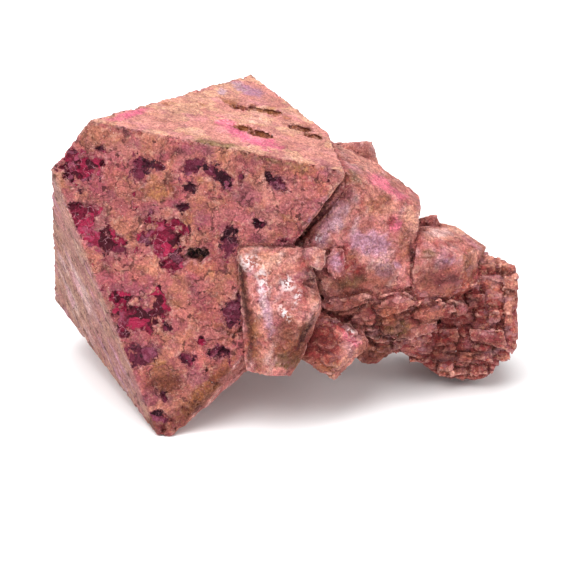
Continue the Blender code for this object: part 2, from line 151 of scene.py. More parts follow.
# ---------------------------------------------------------------- marks, as seen from the front
# Each is (x, y, half width, half height, turn in degrees) on a grid of VIEW_STEP millimetres whose
# corner is the view's top left. Windows are clear, raised plates are thick crust, pits and the slit
# are sunk and painted dark as painted shade (mostly ochre in the top's pits), shade marks are painted
# shade that darkens the crust, gaps are painted shade in the dark lines between crystals, frosting
# marks are white and partly painted sparkle, and the groups that WASHES names lay a tone over the
# surface.
RUBY_WINDOWS = {
    "upper_left": (80, 168, 16, 13, 0),
    "left_small": (81, 210, 13, 5, -10),
    "left_middle": (85, 225, 13, 11, -40),
    "left_lower": (106, 240, 15, 9, -20),
    "centre": (165, 236, 17, 18, 20),
    "centre_foot": (172, 263, 10, 6, 20),
    "low_small": (122, 297, 10, 5, 0),
    "low_left": (133, 320, 23, 13, 10),
    "low_middle": (159, 308, 9, 11, 0),
    "speck": (202, 339, 4, 4, 0),
}
PLUM_WINDOWS = {
    "upper_a": (141, 169, 8, 10, 0),
    "upper_b": (189, 167, 9, 9, 0),
    "upper_c": (212, 171, 10, 7, -30),
    "upper_d": (227, 180, 9, 6, -35),
    "upper_e": (277, 184, 15, 6, -35),
    "fleck_a": (190, 189, 6, 4, 0),
    "fleck_b": (181, 207, 8, 4, 0),
    "fleck_c": (99, 148, 4, 3, 0),
    "beside_small": (229, 244, 7, 12, -10),
    "low_right": (234, 312, 11, 14, -15),
    "low_fleck": (166, 327, 5, 4, 0),
    "low_left": (140, 357, 15, 10, 15),
    "low_centre": (219, 352, 9, 5, 0),
    "low_band": (187, 358, 7, 4, 0),
    "tip_a": (165, 395, 4, 6, 0),
    "tip_b": (160, 417, 8, 5, -10),
    "middle_fleck": (199, 292, 5, 5, 0),
    "right_crack": (255, 220, 12, 4, -30),
    "upper_f": (268, 175, 6, 4, 0),
    "upper_g": (241, 178, 3, 8, 0),
    "left_low_b": (118, 250, 8, 5, 0),
}
RAISED_PLATES = {
    "middle": (210, 282, 26, 22, 0),
    "upper_left": (159, 193, 18, 11, 0),
    "upper_right": (252, 206, 42, 17, -8),
    "left": (126, 224, 15, 12, 0),
    "corner": (120, 160, 14, 9, 0),
    "low": (203, 331, 20, 9, 0),
    "low_right": (238, 344, 13, 11, 0),
    "low_left": (158, 373, 22, 12, 0),
    "near_tip": (178, 399, 14, 14, 0),
    "right_end": (312, 192, 22, 12, -10),
}
MAUVE_PATCHES = {
    "right_end": (325, 169, 10, 9, 0),
    "right_low": (313, 204, 10, 8, 40),
    "upper": (136, 145, 13, 7, 0),
    "middle": (144, 213, 11, 8, 0),
    "centre": (199, 219, 8, 11, 0),
    "low": (128, 290, 24, 9, 0),
    "right": (246, 196, 20, 12, 0),
    "slab": (490, 338, 22, 9, -8),
    "step_front": (443, 279, 20, 10, -10),
    "step_top": (447, 258, 12, 6, -10),
    "ledge": (362, 318, 18, 9, 10),
    "small_low": (275, 325, 10, 14, 0),
    "mid_right": (262, 215, 24, 12, 0),
    "lower": (196, 376, 14, 12, 0),
    "lower_left": (150, 398, 10, 12, 0),
    "centre_low": (182, 262, 16, 8, 0),
    "upper_mid": (200, 150, 22, 7, 0),
    "above_ruby": (150, 212, 14, 8, 0),
    "near_left": (92, 218, 22, 20, -30),
    "beside": (230, 232, 10, 18, 0),
    "small_corner": (300, 278, 8, 8, 0),
}
HOT_PINK = {
    "top_a": (228, 124, 13, 7, -20),
    "top_b": (257, 141, 30, 7, -17),
    "top_c": (128, 115, 24, 4, 17),
    "flank_a": (381, 182, 15, 7, -25),
    "flank_b": (394, 191, 18, 5, -32),
    "flank_c": (395, 224, 8, 8, 0),
    "dark_small": (350, 338, 12, 5, -30),
    "top_d": (236, 131, 10, 6, -20),
}
OCHRE = {
    "pit_a": (263, 134, 10, 5, -20),
    "pit_b": (243, 128, 5, 3, 0),
    "pit_c": (229, 102, 9, 4, -20),
    "pit_d": (273, 111, 9, 4, -20),
    "pit_e": (305, 128, 9, 5, -20),
    "front_a": (163, 192, 16, 8, 0),
    "front_b": (199, 178, 8, 6, 0),
    "front_c": (299, 187, 14, 9, 0),
    "front_d": (303, 168, 20, 8, 0),
    "front_e": (187, 219, 7, 7, 0),
    "plate_a": (202, 266, 17, 12, 0),
    "plate_b": (221, 331, 19, 11, 0),
    "plate_c": (157, 366, 9, 6, 0),
    "strip": (208, 388, 50, 7, 48),
    "flank": (380, 206, 13, 12, 30),
    "step": (470, 258, 8, 9, 0),
    "cluster_a": (500, 267, 12, 7, 0),
    "cluster_b": (493, 287, 8, 11, 0),
    "scales": (395, 325, 21, 14, 0),
    "scale_low": (378, 348, 15, 8, 0),
    "dark_foot": (325, 368, 22, 9, 10),
    "small_left": (252, 340, 7, 28, -10),
    "small_right": (294, 350, 12, 20, -20),
    "dark_edge": (343, 365, 14, 3, 50),
    "block_column": (506, 300, 6, 40, 0),
    "flank_low": (352, 262, 10, 14, -30),
    "flank_edge": (405, 245, 6, 18, 0),
    "flank_warm": (385, 205, 10, 9, -30),
    "dark_small_foot": (318, 376, 14, 6, 0),
}
OLIVE = {
    "rim": (214, 143, 30, 3, -10),
    "rim_right": (282, 163, 30, 3, -12),
    "flank_foot": (346, 284, 17, 8, 10),
    "step_left": (431, 254, 9, 5, 0),
    "scales": (400, 326, 20, 10, 10),
    "cluster_top": (492, 262, 7, 5, 0),
    "corner": (352, 176, 10, 7, -30),
    "behind": (387, 348, 6, 5, 0),
    "small_foot": (285, 362, 20, 8, 0),
    "flank_low": (350, 280, 18, 6, 10),
    "olive_b": (392, 332, 20, 8, -8),
}
LAVENDER = {
    "flank_left": (327, 222, 15, 28, -34),
    "flank_middle": (368, 243, 24, 15, -10),
    "flank_low": (386, 270, 14, 10, 0),
    "flank_foot": (338, 262, 9, 10, 0),
    "top_smudge": (247, 90, 19, 6, -20),
    "top_fleck": (222, 92, 5, 4, 0),
    "small_middle": (266, 308, 6, 26, 10),
    "step_edge": (452, 262, 8, 3, -10),
}
# White frosting, partly painted sparkle where the small crystal's facets catch the light.
FROST_AND_SPARKLE = {
    "small_a": (250, 262, 13, 10, 0),
    "small_b": (262, 282, 8, 18, 10),
    "small_c": (287, 284, 9, 12, 20),
    "small_d": (284, 313, 4, 12, 35),
    "flank": (318, 240, 2, 12, -12),
    "small_e": (296, 300, 4, 12, -20),
    "dark_small": (350, 332, 6, 3, -30),
}
SLIT = {
    "slit": (197, 252, 12, 4, 0),
    "slit_end": (205, 253, 5, 4, 0),
}
PITS = {
    "slit": (197, 252, 11, 3, 0),
    "slit_end": (204, 253, 3, 3, 0),
    "top_a": (229, 101, 11, 3, -18),
    "top_b": (272, 111, 11, 4, -18),
    "top_c": (255, 107, 7, 3, -18),
    "top_d": (263, 134, 10, 4, -20),
    "top_e": (243, 128, 5, 3, -10),
    "top_f": (287, 117, 5, 3, -20),
    "top_g": (303, 128, 8, 4, -20),
    "top_h": (318, 136, 6, 3, -20),
    "top_i": (203, 104, 6, 2, -18),
    "top_j": (165, 103, 5, 2, -18),
    "left_notch": (54, 163, 3, 6, 20),
}
# Brown of the crust, and painted shade: the small crystal's left facet and the strip are darkened as faces
# turned away from the light.
BROWN = {
    "small_left": (254, 335, 7, 42, 10),
    "small_left_top": (244, 285, 4, 30, 8),
    "small_right": (302, 343, 10, 30, -25),
    "strip": (204, 392, 56, 10, 48),
    "tip": (150, 425, 8, 7, 0),
    "plate_foot": (163, 378, 22, 18, 0),
    "plate_right": (215, 335, 22, 12, 0),
    "dark_foot": (325, 372, 20, 8, 10),
    "step_right": (470, 262, 8, 14, 0),
    "small_low": (284, 345, 14, 22, -15),
    "front_up": (160, 190, 29, 12, 0),
}
# Painted shade: the crust darkened where it lies in shadow, under ledges and steps and on faces turned down
# or away.
SHADE = {
    "ledges": (368, 312, 50, 17, 0),
    "ledges_right": (425, 315, 22, 12, 0),
    "step_front": (440, 280, 24, 18, 0),
    "dark_small": (320, 349, 23, 28, 0),
    "olive": (396, 326, 26, 18, 0),
    "behind": (374, 352, 22, 12, 0),
    "slab": (490, 341, 16, 6, 0),
    "block_top": (473, 302, 14, 10, 0),
    "seam": (316, 222, 6, 28, -34),
    "low_blocks": (445, 345, 30, 14, 20),
    "small_foot": (298, 345, 12, 30, -25),
    "tip": (160, 425, 22, 14, 0),
    "strip": (200, 400, 50, 8, 48),
    "flank_foot": (350, 288, 26, 10, 0),
    "middle_blocks": (460, 322, 30, 12, 0),
    "small_left": (247, 310, 5, 60, 8),
    "small_low": (284, 338, 12, 26, -14),
    "flank_low": (372, 276, 26, 14, 0),
    "lobe": (452, 356, 32, 10, 6),
    "front_tip": (166, 385, 20, 12, 0),
}
ROSE = {
    "upper_right": (287, 194, 36, 16, -10),
    "corner": (116, 152, 22, 11, 0),
    "low": (212, 334, 20, 8, 0),
    "middle": (228, 214, 22, 10, 0),
    "right": (262, 222, 22, 12, 0),
}
# Salmon of the tops, and painted highlights: the marks named as rims light the edges.
SALMON = {
    "step_top": (447, 231, 28, 10, 8),
    "step_right": (478, 260, 8, 12, 0),
    "block_top": (496, 262, 16, 8, 0),
    "block_right": (510, 300, 7, 34, 0),
    "flank_rim": (412, 222, 6, 24, 5),
    "flank_top": (375, 165, 14, 8, 20),
    "small_right": (314, 300, 8, 9, 0),
    "small_main": (268, 262, 14, 8, 0),
    "lobe_rim": (470, 356, 16, 4, 0),
    "dark_small_rim": (356, 352, 14, 2, 50),
    "small_right_rim": (318, 288, 3, 12, 10),
    "lobe": (455, 372, 22, 4, -8),
    "crest": (352, 150, 26, 9, -28),
    "block_column": (512, 285, 6, 26, 0),
    "flank_mid": (392, 216, 10, 14, 0),
}
PALE = {
    "left_a": (82, 292, 38, 4, -66),
    "left_b": (72, 300, 22, 3, -66),
    "left_c": (62, 262, 16, 2, -66),
    "flank_edge": (318, 240, 2, 14, -12),
    "step_top": (440, 232, 16, 5, 0),
    "small_main": (262, 296, 3, 18, 12),
    "flank_ridge": (352, 232, 3, 22, -24),
    "slab": (486, 333, 14, 2, -8),
}
# Painted shade: near black in the gaps and recesses between crystals, where shade falls.
GAPS = {
    "edge": (320, 212, 44, 2.5, 54),
    "edge_hole": (298, 243, 5, 4, 0),
    "small_left": (243, 290, 3, 46, 8),
    "small_foot": (250, 352, 3, 18, -8),
    "small_top": (270, 246, 34, 2, 0),
    "small_recess": (313, 276, 12, 6, -35),
    "under_nub": (313, 268, 9, 2, 0),
    "slab_foot": (345, 326, 26, 3, -22),
    "dark_small_left": (306, 332, 3, 22, -28),
    "olive_foot": (386, 338, 24, 2, -6),
    "step_foot": (460, 303, 30, 3, 12),
    "slab_right": (492, 351, 14, 2, 12),
    "step_left": (411, 255, 2, 20, 0),
}
# Red of the flank's own spots, and painted shade: dark red in the gaps between blocks, along the seam and
# over the dark small crystal.
RED = {
    "flank": (355, 268, 15, 9, 0),
    "dark_small": (321, 333, 11, 11, 0),
    "block_shade": (475, 300, 14, 5, 0),
    "seam": (300, 236, 5, 9, -35),
    "dark_small_b": (312, 345, 10, 14, 0),
    "dark_small_top": (335, 325, 14, 6, -25),
    "block_gap": (452, 322, 18, 6, 0),
    "dark_small_all": (322, 345, 22, 20, 0),
    "flank_rise": (345, 250, 4, 16, -20),
    "blocks_a": (468, 318, 14, 10, 0),
    "blocks_b": (440, 338, 12, 8, 0),
    "flank_spot": (391, 221, 6, 6, 0),
}

# ---------------------------------------------------------------- colours, all linear
TONES = {
    "crust": (0.435, 0.146, 0.097),
    "crust_pink": (0.39, 0.095, 0.104),
    "salmon": (0.67, 0.32, 0.225),
    "salmon_pink": (0.68, 0.315, 0.265),
    "beige": (0.45, 0.225, 0.175),
    "flank": (0.56, 0.21, 0.168),
    "block": (0.33, 0.073, 0.054),
    "rose": (0.50, 0.175, 0.150),
    "mauve": (0.24, 0.065, 0.095),
    "hot_pink": (0.78, 0.165, 0.255),
    "ochre": (0.39, 0.145, 0.058),
    "olive": (0.2, 0.115, 0.045),
    "lavender": (0.48, 0.27, 0.34),
    "red": (0.29, 0.028, 0.034),
    "pale": (0.72, 0.5, 0.48),
    # Near black, used only as painted shade in crevices, gaps and pits.
    "deep": (0.05, 0.008, 0.008),
    "brown": (0.2, 0.065, 0.03),
}
LEAST_TONE = 0.004
# Tones laid over the marked places, in this order, and how strongly.
WASHES = (
    ("brown", BROWN, 0.6),
    ("mauve", MAUVE_PATCHES, 0.6),
    ("ochre", OCHRE, 0.65),
    ("olive", OLIVE, 0.8),
    ("rose", ROSE, 0.75),
    ("salmon", SALMON, 0.7),
    ("lavender", LAVENDER, 0.9),
    ("pale", PALE, 0.6),
    ("hot_pink", HOT_PINK, 0.85),
    ("red", RED, 0.85),
)
# What the finest grain is tinted with.
TINTS = {
    "small_plate_hue": (0.84, 0.72, 0.86, 1),
    "bare_pore": (0.16, 0.028, 0.024, 1),
    "rosy_speck": (0.27, 0.058, 0.085, 1),
    "salmon_speck": (0.66, 0.36, 0.26, 1),
    "golden_speck": (0.36, 0.17, 0.06, 1),
    "dust": (0.66, 0.42, 0.34, 1),
    "clear_chunk": (0.52, 0.24, 0.28, 1),
    "bloody_chunk": (0.26, 0.030, 0.040, 1),
    "warm_fleck": (0.66, 0.30, 0.18, 1),
    "chunk_line": (0.09, 0.014, 0.014, 1),
    "under_plates": (0.26, 0.055, 0.075, 1),
    # Painted shade, laid where the shade marks lie.
    "painted_shade_tint": (0.60, 0.48, 0.43, 1),
    # Dark marks: cracks, fissures, pores and specks, and painted shade along the windows' sunk border.
    "crack_and_shade": (0.055, 0.010, 0.012, 1),
    "window_rim": (0.62, 0.36, 0.30, 1),
    "window_halo": (0.33, 0.055, 0.085, 1),
    "haze": (0.42, 0.12, 0.19, 1),
    "facet_line": (0.04, 0.002, 0.008, 1),
    "vein": (0.62, 0.26, 0.32, 1),
    # White frosting, partly painted sparkle.
    "frost_and_sparkle": (0.95, 0.90, 0.92, 1),
    # Painted glints.
    "painted_glint": (0.95, 0.90, 0.88, 1),
}
# Pairs that a pattern goes between: the first five multiply the colour under them.
SHADES = {
    "coarse_grain": ((0.86, 0.82, 0.84, 1), (1.14, 1.16, 1.14, 1)),
    "fine_grain": ((0.70, 0.66, 0.66, 1), (1.28, 1.28, 1.28, 1)),
    "plate_hue": ((0.94, 0.80, 0.96, 1), (1.07, 1.20, 1.12, 1)),
    "plate_shade": ((0.86, 0.84, 0.84, 1), (1.14, 1.16, 1.16, 1)),
    "chunk_shade": ((0.62, 0.56, 0.58, 1), (1.34, 1.36, 1.34, 1)),
    "deep_window": ((0.050, 0.001, 0.008, 1), (0.026, 0.002, 0.008, 1)),
    "light_window": ((0.38, 0.016, 0.062, 1), (0.17, 0.022, 0.050, 1)),
}
# Specks all over the crust: the grain's scale, where it starts and is whole, its strength and tint.
CRUST_SPECKS = (
    (1.7, 0.54, 0.64, 0.45, "rosy_speck"),
    (1.3, 0.56, 0.66, 0.35, "salmon_speck"),
    (2.9, 0.60, 0.68, 0.40, "golden_speck"),
    (4.4, 0.62, 0.70, 0.45, "dust"),
)
DUSTY_ROUGHNESS, GLASSY_ROUGHNESS = 0.74, 0.30
SPECULAR_LEVEL = 0.22
GRAIN_HEIGHT, GRAIN_STRENGTH = 0.22, 0.9


# ---------------------------------------------------------------- noise and small maths
CODES = 256
rng = np.random.default_rng(SEED)
PERMUTED = rng.permutation(CODES)
SLOPES = rng.normal(size=(CODES, 3))
SLOPES /= np.linalg.norm(SLOPES, axis=1)[:, None]
CORNERS = np.array([(x, y, z) for x in (0, 1) for y in (0, 1) for z in (0, 1)])
CLOUD_GAIN = 1.7
LAYERS = 3
LAYER_SHIFT = 17.3
LOBE_JITTER = 0.42

# Noises over the surface: where each one starts, so that no two agree, and how large its lumps are.
NOISES = {
    "ripple": (0, 0.9),
    "window_fray": (0, 0.7),
    "left_grit": (0, 0.8),
    "grown_lumps": (15, 1.7),
    "swell": (30, 3.2),
    "hidden_windows": (40, 4.5),
    "window_flecks": (45, 1.7),
    "pale_streaks": (50, 0.8),
    "sheet_drift": (60, 2.6),
    "top_lumps": (70, 1.5),
    "rising_streaks": (80, 1.0),
    "crust_plates": (150, 3.4),
    "chips": (200, 1.3),
    "shade": (300, 2.6),
    "warmth": (310, 3.0),
    "mauve": (315, 2.2),
    "brown": (318, 1.4),
    "top_pink": (320, 3.0),
    "ochre": (330, 2.0),
    "lavender": (340, 3.0),
    "frost_and_sparkle_fray": (350, 1.4),
    "wash_fray": (350, 1.5),
    "fine_wash_fray": (360, 0.5),
    "red": (370, 2.2),
    "plate_fray": (410, 1.3),
    "rim_breaks": (420, 1.6),
    "pits": (500, 0.9),
    "left_streaks": (0, 1.1),
}


def hashed(cell):
    """A repeatable number from 0 to 255 for each whole-number cell."""
    code = PERMUTED[cell[..., 0] % CODES]
    code = PERMUTED[(code + cell[..., 1]) % CODES]
    return PERMUTED[(code + cell[..., 2]) % CODES]


def smooth(low, high, value):
    """0 below low, 1 above high, with a soft step between."""
    t = np.clip((value - low) / (high - low), 0, 1)
    return t * t * (3 - 2 * t)


def clouds(points, size):
    """Gradient noise from about -1 to 1, with lumps of this size in millimetres."""
    scaled = points / size
    cell = np.floor(scaled).astype(int)
    part = scaled - cell
    fade = part * part * part * (part * (part * 6 - 15) + 10)
    total = np.zeros(len(points))
    for corner in CORNERS:
        slope = SLOPES[hashed(cell + corner)]
        weight = np.prod(np.where(corner == 1, fade, 1 - fade), axis=1)
        total += weight * np.einsum("ij,ij->i", part - corner, slope)
    return total * CLOUD_GAIN


def layered(points, size):
    """Clouds over finer clouds."""
    total = np.zeros(len(points))
    for n in range(LAYERS):
        total += clouds(points + LAYER_SHIFT * n, size / 2**n) / 2**n
    return total / (2 - 2.0 ** (1 - LAYERS))


def noise(name, points):
    start, size = NOISES[name]
    return layered(points + start, size)


def lobes(points, size):
    """For round cells of this size: how far each point is from its cell's middle, and the cell's number."""
    scaled = points / size
    home = np.floor(scaled).astype(int)
    nearest = np.full(len(points), np.inf)
    owner = np.zeros(len(points), dtype=int)
    for shift in np.ndindex(3, 3, 3):
        cell = home + np.array(shift) - 1
        code = hashed(cell)
        gap = np.linalg.norm(scaled - (cell + 0.5 + LOBE_JITTER * SLOPES[code]), axis=1)
        owner = np.where(gap < nearest, code, owner)
        nearest = np.minimum(gap, nearest)
    return nearest, owner / (CODES - 1)


def direction(azimuth, elevation):
    """The unit vector towards this azimuth and elevation, with the front at azimuth 0."""
    a, e = math.radians(azimuth), math.radians(elevation)
    return np.array([math.sin(a) * math.cos(e), -math.cos(a) * math.cos(e), math.sin(e)])


def seen_from_front(points):
    """Where the points fall on the front view's grid."""
    forward = -direction(0, VIEW_ELEVATION)
    up = direction(180, 90 - VIEW_ELEVATION)
    offset = points - VIEW_TARGET
    step = (VIEW_DISTANCE + offset @ forward) / VIEW_DISTANCE * VIEW_STEP
    return VIEW_GRID / 2 + offset[:, 0] / step, VIEW_GRID / 2 - offset @ up / step


def marked(seen, marks, ragged):
    """Strength of the nearest mark at each point: above 0 inside it, and ragged at its border."""
    x, y = seen
    best = np.full(len(x), FAR_FROM_MARKS)
    for middle_x, middle_y, wide, tall, turn in marks.values():
        c, s = math.cos(math.radians(turn)), math.sin(math.radians(turn))
        right, up = x - middle_x, middle_y - y
        along, across = right * c + up * s, up * c - right * s
        best = np.maximum(best, 1 - np.hypot(along / wide, across / tall))
    return best + ragged


# ---------------------------------------------------------------- meshes
def merged_solid():
    """The solid's triangles joined into one mesh."""
    rough = bpy.data.meshes.new_from_object(bpy.data.objects["spinel_crystal"])
    bm = bmesh.new()
    bm.from_mesh(rough)
    bmesh.ops.remove_doubles(bm, verts=bm.verts, dist=SAME_POINT * MM)
    bm.to_mesh(rough)
    bm.free()
    rough.materials.clear()
    return rough


def triangles(mesh):
    return sum(len(face.vertices) - 2 for face in mesh.polygons)


def placed(name, content):
    """A new object in the scene."""
    made = bpy.data.objects.new(name, content)
    bpy.context.scene.collection.objects.link(made)
    return made


def modified(mesh, kind, **settings):
    """A new mesh, as one modifier makes it out of this one."""
    source = placed("source", mesh)
    modifier = source.modifiers.new(kind.lower(), kind)
    for name, value in settings.items():
        setattr(modifier, name, value)
    graph = bpy.context.evaluated_depsgraph_get()
    made = bpy.data.meshes.new_from_object(
        source.evaluated_get(graph), preserve_all_data_layers=True, depsgraph=graph
    )
    bpy.data.objects.remove(source)
    return made


def edge_points(rough, inward):
    """Points along the solid's inward seams, or along its outward edges, in millimetres."""
    bm = bmesh.new()
    bm.from_mesh(rough)
    found = []
    for edge in bm.edges:
        if len(edge.link_faces) != 2 or edge.calc_face_angle(0) < math.radians(LEAST_EDGE_ANGLE):
            continue
        one, other = edge.link_faces
        sinks = (other.calc_center_median() - one.calc_center_median()).dot(one.normal) > 0
        if sinks == inward:
            a, b = (Vector(vert.co) / MM for vert in edge.verts)
            steps = max(1, int((b - a).length / EDGE_STEP))
            found += [a.lerp(b, (n + 0.5) / steps) for n in range(steps)]
    bm.free()
    return found


def distances(points, targets):
    """How far each point is from the nearest target."""
    tree = KDTree(len(targets))
    for n, target in enumerate(targets):
        tree.insert(target, n)
    tree.balance()
    return np.array([tree.find(point)[2] for point in points])


def settled_on(points, rough):
    """The points moved onto the solid's flat facets, and the number of each one's facet."""
    corners = [vert.co / MM for vert in rough.vertices]
    tree = BVHTree.FromPolygons(corners, [tuple(face.vertices) for face in rough.polygons])
    hits = [tree.find_nearest(point) for point in points]
    return np.array([hit[0] for hit in hits]), np.array([hit[2] for hit in hits])


class Surface:
    """Positions, normals and neighbours of a mesh, in millimetres."""

    def __init__(self, mesh):
        self.mesh = mesh
        count = len(mesh.vertices)
        flat = np.empty(count * 3)
        mesh.vertices.foreach_get("co", flat)
        self.points = flat.reshape(-1, 3) / MM
        edges = np.empty(len(mesh.edges) * 2, dtype=int)
        mesh.edges.foreach_get("vertices", edges)
        self.edges = edges.reshape(-1, 2)
        ends = np.concatenate([self.edges[:, 0], self.edges[:, 1]])
        self.degree = np.bincount(ends, minlength=count)[:, None]

    def eased(self, rounds):
        """The points averaged with their neighbours, a number of times."""
        a, b = self.edges.T
        points = self.points
        for _ in range(rounds):
            total = np.zeros_like(points)
            for n in range(3):
                total[:, n] = np.bincount(a, points[b, n], len(points))
                total[:, n] += np.bincount(b, points[a, n], len(points))
            points = (points + total / self.degree) / 2
        return points

    def normals(self):
        self.write()
        flat = np.empty(len(self.points) * 3)
        self.mesh.vertices.foreach_get("normal", flat)
        return flat.reshape(-1, 3)

    def hollow(self, rounds):
        """Above 0 in hollows and below 0 on edges, in millimetres: more rounds see wider ones."""
        return np.einsum("ij,ij->i", self.eased(rounds) - self.points, self.normals())

    def write(self):
        self.mesh.vertices.foreach_set("co", (self.points * MM).ravel())
        self.mesh.update()

    def store(self, name, values):
        """Keeps a number or a colour for each point as an attribute of the mesh."""
        kind = "FLOAT_COLOR" if values.ndim == 2 else "FLOAT"
        layer = self.mesh.attributes.new(name, kind, "POINT")
        if values.ndim == 2:
            full = np.concatenate([values, np.ones((len(values), 1))], axis=1)
            layer.data.foreach_set("color", full.ravel())
        else:
            layer.data.foreach_set("value", values)


# ---------------------------------------------------------------- patterns, relief and tone
STREAK_FALL = np.array([0.42, -0.62, -0.66])
STREAK_FALL /= np.linalg.norm(STREAK_FALL)
STREAK_RISE = np.array([0.55, 0.10, 0.83])
SHEET_NORMAL = direction(-160, -62)


class Zones:
    """Which part of the group each point is on, from 0 to 1."""

    def __init__(self, points, normals):
        faces = {}
        for name, (azimuth, elevation, distance) in FACES.items():
            outward = direction(azimuth, elevation)
            off = np.abs((points - CENTRE) @ outward - distance)
            faces[name] = smooth(*NEAR_FACE, off) * smooth(*ALONG_FACE, normals @ outward)
        self.front, self.top, self.left = faces["front"], faces["top"], faces["left"]
        crystal = np.clip(sum(faces.values()), 0, 1)
        self.crust = np.clip(crystal - self.top - self.left, 0, 1)
        self.grown = 1 - crystal
        x, _, z = points.T
        leaning = x + BLOCKS_LEAN * (BLOCKS_MIDDLE - z)
        self.blocks = self.grown * smooth(*BLOCKS_RIGHT_OF, leaning) * smooth(*BLOCKS_BELOW, z)
        self.slope = self.grown * smooth(*SLOPE_BELOW, z) * smooth(*SLOPE_RIGHT_OF, x)
        self.flank = self.grown * (1 - self.blocks) * (1 - self.slope)
        self.facing = smooth(*FACING_VIEW, normals @ direction(0, VIEW_ELEVATION))
        self.seen = seen_from_front(points)
        below_top = FACES["top"][2] - (points - CENTRE) @ direction(*FACES["top"][:2])
        sunk = self.grown * smooth(-0.9, -0.5, marked(self.seen, PITS, 0))
        self.top_hollow = sunk * smooth(*UNDER_TOP, below_top)
        self.in_slit = marked(self.seen, SLIT, 0)
        self.slit = sunk * smooth(*FAR_UNDER_TOP, below_top) * smooth(-0.6, -0.1, self.in_slit)
        self.broken = self.grown * (0.45 + 0.55 * np.maximum(self.slope, self.blocks))


class Patterns:
    """The patterns at each point that shape its relief and steer its colour."""

    def __init__(self, points, on, rough):
        self.seam = distances(points, edge_points(rough, inward=True))
        self.ridge = distances(points, edge_points(rough, inward=False))
        self.chips = np.abs(noise("chips", points))
        self.grow_lobes(points)
        self.raise_plates(points, on)
        self.open_windows(points, on)
        self.lay_crust()
        self.sink_pits(points, on)
        self.draw_streaks(points)
        self.stack_sheets(points)

    def grow_lobes(self, points):
        """Large and small rounded lobes, with uneven borders."""
        wander = [layered(points + WANDER_SHIFT * n, WANDER_SIZE) for n in range(3)]
        self.warped = points + WANDER * np.stack(wander, axis=1)
        self.middle, self.number = lobes(self.warped, LARGE_LOBE)
        self.small_middle, self.small_number = lobes(self.warped, SMALL_LOBE)
        self.pebbles = smooth(0.7, 0.2, self.small_middle)

    def raise_plates(self, points, on):
        """The thick plates of crust on the front face, and the broken rim around each."""
        ragged = 0.3 * noise("plate_fray", points) + 0.5 * (self.number - 0.5)
        field = marked(on.seen, RAISED_PLATES, ragged)
        self.raised = smooth(0.0, 0.12, field) * on.front * on.facing
        unbroken = smooth(-0.1, 0.2, noise("rim_breaks", points))
        self.rim = smooth(0.09, 0.0, np.abs(field)) * unbroken * on.front

    def open_windows(self, points, on):
        """Clear windows with ragged borders, in the places marked and, at the back, wherever they fall."""
        ragged = 0.34 * (self.number - LOBE_MEAN) + 0.30 * (self.small_number - LOBE_MEAN)
        ragged += 0.22 * noise("window_fray", points)
        ruby = MARK_SPREAD * marked(on.seen, RUBY_WINDOWS, 0.1) + ragged
        plum = MARK_SPREAD * marked(on.seen, PLUM_WINDOWS, 0) + ragged
        hidden = 1 - on.facing * on.front
        fields = {
            name: gain * noise(name, points) - rarity + raggedness * ragged
            for name, (gain, rarity, raggedness) in SCATTERED.items()
        }
        ruby = np.where(hidden > 0.5, fields["hidden_windows"], np.maximum(ruby, fields["window_flecks"]))
        field = np.maximum(ruby, plum - 3 * hidden) - 0.7 * self.raised
        self.window_field = np.where(on.crust > 0.5, field, CLOSED)
        self.window = smooth(-0.03, 0.12, self.window_field)
        self.plum = smooth(-0.2, 0.2, plum - ruby) * (1 - hidden)

    def lay_crust(self):
        """Plates of dusty crust over a thinner rosy one."""
        field = noise("crust_plates", self.warped) + 0.34 * (0.55 - self.middle)
        field += 0.22 * (0.5 - self.small_middle) + 0.12
        self.plate_field = field - 0.6 * smooth(-0.25, 0.1, self.window_field)
        self.plate = smooth(-0.02, 0.06, self.plate_field)

    def sink_pits(self, points, on):
        ragged = (0.12 + 0.3 * on.top) * noise("pits", points)
        field = marked(on.seen, PITS, ragged) * on.facing
        self.pit = smooth(-0.05, 0.45, field) * on.facing

    def draw_streaks(self, points):
        """Long streaks down the left face, and others that rise across the flank."""
        stretched = points - np.outer(points @ STREAK_FALL, STREAK_FALL) * 0.88
        self.streak = noise("left_streaks", stretched)
        self.pale_streak = noise("pale_streaks", stretched)
        rising = points - np.outer(points @ STREAK_RISE, STREAK_RISE) * 0.85
        self.rising = noise("rising_streaks", rising)

    def stack_sheets(self, points):
        """Low steps across the small crystals, as one sawtooth over their height."""
        drift = points + 1.1 * noise("sheet_drift", points)[:, None]
        turn = drift @ SHEET_NORMAL / SHEET_THICKNESS + 1.5 * self.number
        turn = turn - np.floor(turn)
        self.sheet = turn * smooth(1.0, 0.90, turn) - SHEET_MEAN


